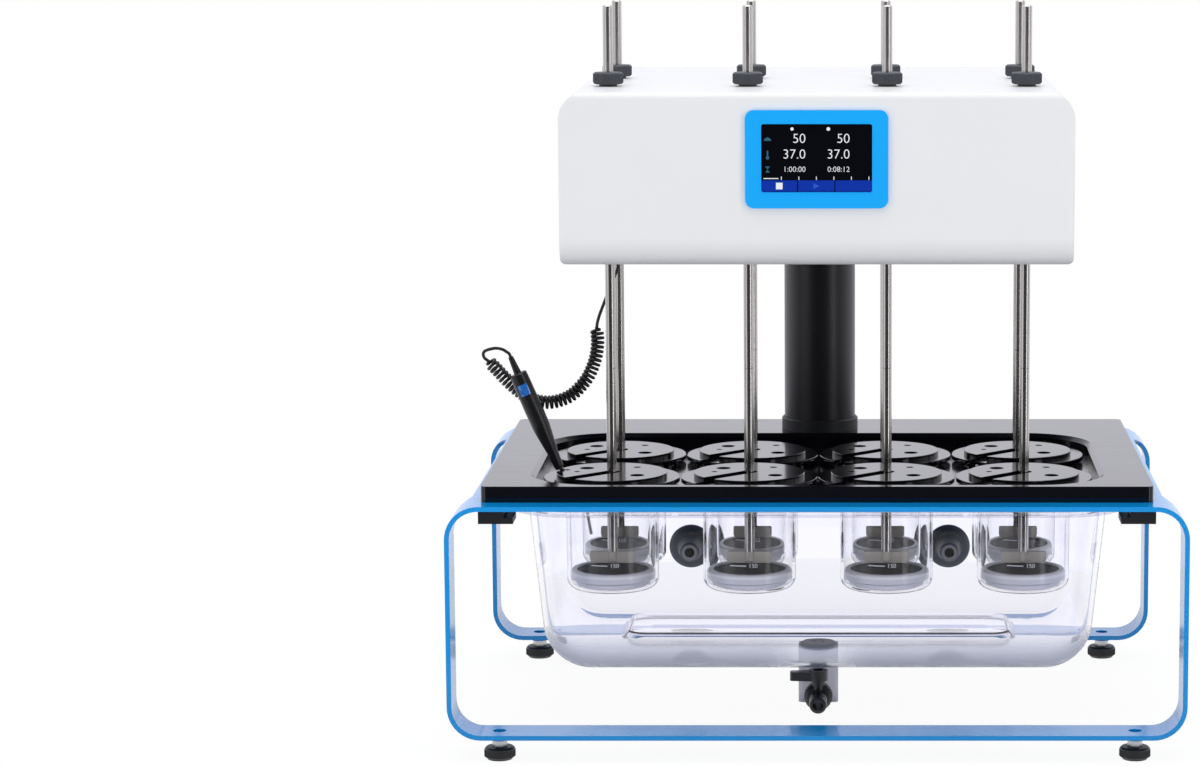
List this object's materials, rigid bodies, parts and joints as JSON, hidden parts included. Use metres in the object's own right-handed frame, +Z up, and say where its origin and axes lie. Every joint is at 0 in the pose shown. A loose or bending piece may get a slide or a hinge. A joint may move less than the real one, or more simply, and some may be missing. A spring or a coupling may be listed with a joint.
{
  "type": "dissolution tester",
  "caption": "Bench dissolution tester: a lifting head turns paddles in lidded glass vessels hung in a clear water bath on a bent sheet frame, with a corded probe and a drain valve.",
  "frame": {"origin": "middle of the footprint, on the bench under the feet", "axes": "+X to the right, +Y to the rear, +Z up; the screen faces -Y"},
  "size_m": [0.683, 0.472, 0.693],
  "materials": {
    "frame_blue": "satin powder coat",
    "foot_black": "moulded, knurled",
    "deck_black": "polished",
    "matt_black": "moulded",
    "seal_rubber": "plain",
    "cord_rubber": "satin",
    "clear_tank": "clear moulded",
    "vessel_glass": "clear",
    "holder_white": "turned",
    "mesh_steel": "perforated",
    "column_black": "satin anodised",
    "actuator_grey": "satin",
    "drain_frosted": "frosted",
    "coupling_slate": "moulded",
    "head_white": "satin powder coat",
    "plate_aluminium": "milled",
    "bezel_blue": "satin",
    "screen_black": "glass front",
    "board_green": "coated",
    "bright_steel": "ground",
    "spindle_dark": "black anodised"
  },
  "bodies": {
    "base": {"leg_frame": "frame_blue", "deck_plate": "deck_black", "tank_clips": "matt_black", "tank_rim_seal": "seal_rubber", "bath_tank": "clear_tank", "glass_vessels": "vessel_glass", "disc_holders": "holder_white", "disc_meshes": "mesh_steel", "lift_column": "column_black", "column_collar": "matt_black", "actuator_body": "actuator_grey", "drain_block": "drain_frosted", "drain_strainer": "matt_black", "drain_valve": "matt_black", "bath_couplings": "coupling_slate"},
    "head": {"head_shell": "head_white", "head_base_plate": "plate_aluminium", "screen_bezel": "bezel_blue", "display_panel": "screen_black", "control_board": "board_green", "power_inlet": "matt_black", "drive_motor": "actuator_grey", "drive_belt": "seal_rubber", "spindle_bearings": "plate_aluminium", "lift_ram": "plate_aluminium", "actuator_rod": "bright_steel", "probe_socket": "matt_black", "probe_cord": "cord_rubber"},
    "motor_pulley": {"motor_pulley": "bright_steel"},
    "spindle_1": {"spindle_1": "spindle_dark", "paddle_1": "bright_steel"},
    "spindle_2": {"spindle_2": "spindle_dark", "paddle_2": "bright_steel"},
    "spindle_3": {"spindle_3": "spindle_dark", "paddle_3": "bright_steel"},
    "spindle_4": {"spindle_4": "spindle_dark", "paddle_4": "bright_steel"},
    "spindle_5": {"spindle_5": "spindle_dark", "paddle_5": "bright_steel"},
    "spindle_6": {"spindle_6": "spindle_dark", "paddle_6": "bright_steel"},
    "spindle_7": {"spindle_7": "spindle_dark", "paddle_7": "bright_steel"},
    "spindle_8": {"spindle_8": "spindle_dark", "paddle_8": "bright_steel"},
    "lid_1": {"lid_1": "deck_black", "probe_handle": "matt_black", "probe_sheath": "bright_steel"},
    "lid_2": {"lid_2": "deck_black"},
    "lid_3": {"lid_3": "deck_black"},
    "lid_4": {"lid_4": "deck_black"},
    "lid_5": {"lid_5": "deck_black"},
    "lid_6": {"lid_6": "deck_black"},
    "lid_7": {"lid_7": "deck_black"},
    "lid_8": {"lid_8": "deck_black"},
    "drain_lever": {"drain_lever": "matt_black"},
    "foot_1": {"foot_1": "foot_black"},
    "foot_2": {"foot_2": "foot_black"},
    "foot_3": {"foot_3": "foot_black"},
    "foot_4": {"foot_4": "foot_black"}
  },
  "joints": [
    {"name": "head_lift", "type": "slide", "parent": "base", "child": "head", "axis": [0, 0, 1], "range_m": [0, 0.14]},
    {"name": "spindle_1_spin", "type": "hinge", "parent": "head", "child": "spindle_1", "pos_m": [-0.195, -0.117, 0.5], "axis": [0, 0, 1], "continuous": true},
    {"name": "spindle_2_spin", "type": "hinge", "parent": "head", "child": "spindle_2", "pos_m": [-0.065, -0.117, 0.5], "axis": [0, 0, 1], "continuous": true},
    {"name": "spindle_3_spin", "type": "hinge", "parent": "head", "child": "spindle_3", "pos_m": [0.065, -0.117, 0.5], "axis": [0, 0, 1], "continuous": true},
    {"name": "spindle_4_spin", "type": "hinge", "parent": "head", "child": "spindle_4", "pos_m": [0.195, -0.117, 0.5], "axis": [0, 0, 1], "continuous": true},
    {"name": "spindle_5_spin", "type": "hinge", "parent": "head", "child": "spindle_5", "pos_m": [-0.195, 0.013, 0.5], "axis": [0, 0, 1], "continuous": true},
    {"name": "spindle_6_spin", "type": "hinge", "parent": "head", "child": "spindle_6", "pos_m": [-0.065, 0.013, 0.5], "axis": [0, 0, 1], "continuous": true},
    {"name": "spindle_7_spin", "type": "hinge", "parent": "head", "child": "spindle_7", "pos_m": [0.065, 0.013, 0.5], "axis": [0, 0, 1], "continuous": true},
    {"name": "spindle_8_spin", "type": "hinge", "parent": "head", "child": "spindle_8", "pos_m": [0.195, 0.013, 0.5], "axis": [0, 0, 1], "continuous": true},
    {"name": "motor_spin", "type": "hinge", "parent": "head", "child": "motor_pulley", "pos_m": [0, 0.021, 0.5], "axis": [0, 0, 1], "continuous": true},
    {"name": "lid_1_lift", "type": "slide", "parent": "head", "child": "lid_1", "axis": [0, 0, 1], "range_m": [0, 0.12], "deforming": ["probe_cord"]},
    {"name": "lid_2_lift", "type": "slide", "parent": "head", "child": "lid_2", "axis": [0, 0, 1], "range_m": [0, 0.12]},
    {"name": "lid_3_lift", "type": "slide", "parent": "head", "child": "lid_3", "axis": [0, 0, 1], "range_m": [0, 0.12]},
    {"name": "lid_4_lift", "type": "slide", "parent": "head", "child": "lid_4", "axis": [0, 0, 1], "range_m": [0, 0.12]},
    {"name": "lid_5_lift", "type": "slide", "parent": "head", "child": "lid_5", "axis": [0, 0, 1], "range_m": [0, 0.12]},
    {"name": "lid_6_lift", "type": "slide", "parent": "head", "child": "lid_6", "axis": [0, 0, 1], "range_m": [0, 0.12]},
    {"name": "lid_7_lift", "type": "slide", "parent": "head", "child": "lid_7", "axis": [0, 0, 1], "range_m": [0, 0.12]},
    {"name": "lid_8_lift", "type": "slide", "parent": "head", "child": "lid_8", "axis": [0, 0, 1], "range_m": [0, 0.12]},
    {"name": "drain_lever_turn", "type": "hinge", "parent": "base", "child": "drain_lever", "pos_m": [0, -0.1045, 0.05], "axis": [0, 0, 1], "range_deg": [0, 90]},
    {"name": "foot_1_turn", "type": "hinge", "parent": "base", "child": "foot_1", "pos_m": [-0.295, -0.215, 0.01], "axis": [0, 0, 1], "continuous": true},
    {"name": "foot_2_turn", "type": "hinge", "parent": "base", "child": "foot_2", "pos_m": [0.295, -0.215, 0.01], "axis": [0, 0, 1], "continuous": true},
    {"name": "foot_3_turn", "type": "hinge", "parent": "base", "child": "foot_3", "pos_m": [-0.295, 0.215, 0.01], "axis": [0, 0, 1], "continuous": true},
    {"name": "foot_4_turn", "type": "hinge", "parent": "base", "child": "foot_4", "pos_m": [0.295, 0.215, 0.01], "axis": [0, 0, 1], "continuous": true}
  ],
  "couplings": [
    {"joint": "spindle_2_spin", "follows": "spindle_1_spin", "ratio": 1},
    {"joint": "spindle_3_spin", "follows": "spindle_1_spin", "ratio": 1},
    {"joint": "spindle_4_spin", "follows": "spindle_1_spin", "ratio": 1},
    {"joint": "spindle_5_spin", "follows": "spindle_1_spin", "ratio": 1},
    {"joint": "spindle_6_spin", "follows": "spindle_1_spin", "ratio": 1},
    {"joint": "spindle_7_spin", "follows": "spindle_1_spin", "ratio": 1},
    {"joint": "spindle_8_spin", "follows": "spindle_1_spin", "ratio": 1},
    {"joint": "motor_spin", "follows": "spindle_1_spin", "ratio": 1.6667}
  ]
}
